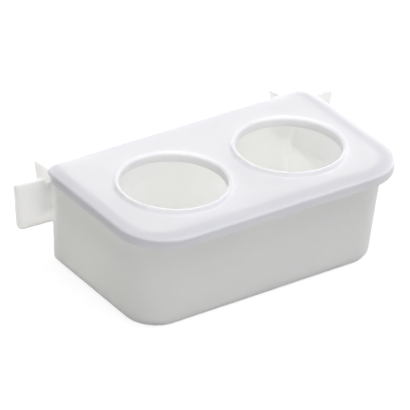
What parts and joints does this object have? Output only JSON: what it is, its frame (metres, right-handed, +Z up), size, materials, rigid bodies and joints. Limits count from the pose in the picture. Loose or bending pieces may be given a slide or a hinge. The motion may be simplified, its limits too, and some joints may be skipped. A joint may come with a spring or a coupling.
{
  "type": "seed cup",
  "caption": "Hanging bird-cage seed cup: a drafted plastic tub with ears and wire hooks at the back, and a lift-off lid with raised round feeding holes.",
  "frame": {"origin": "middle of the tub's flat base", "axes": "+X along the cup's length, +Y towards the cage wires that it hangs on, +Z up"},
  "size_m": [0.138, 0.0799, 0.0429],
  "materials": {
    "tub_plastic": "natural white polypropylene, slightly translucent, satin as moulded",
    "lid_plastic": "cool white polypropylene, satin top with glossy collar lips"
  },
  "bodies": {
    "tub": {"seed_tub": "tub_plastic"},
    "lid": {"lid": "lid_plastic"}
  },
  "joints": [
    {"name": "lid_lift", "type": "slide", "parent": "tub", "child": "lid", "axis": [0, 0, 1], "range_m": [0, 0.05]}
  ]
}
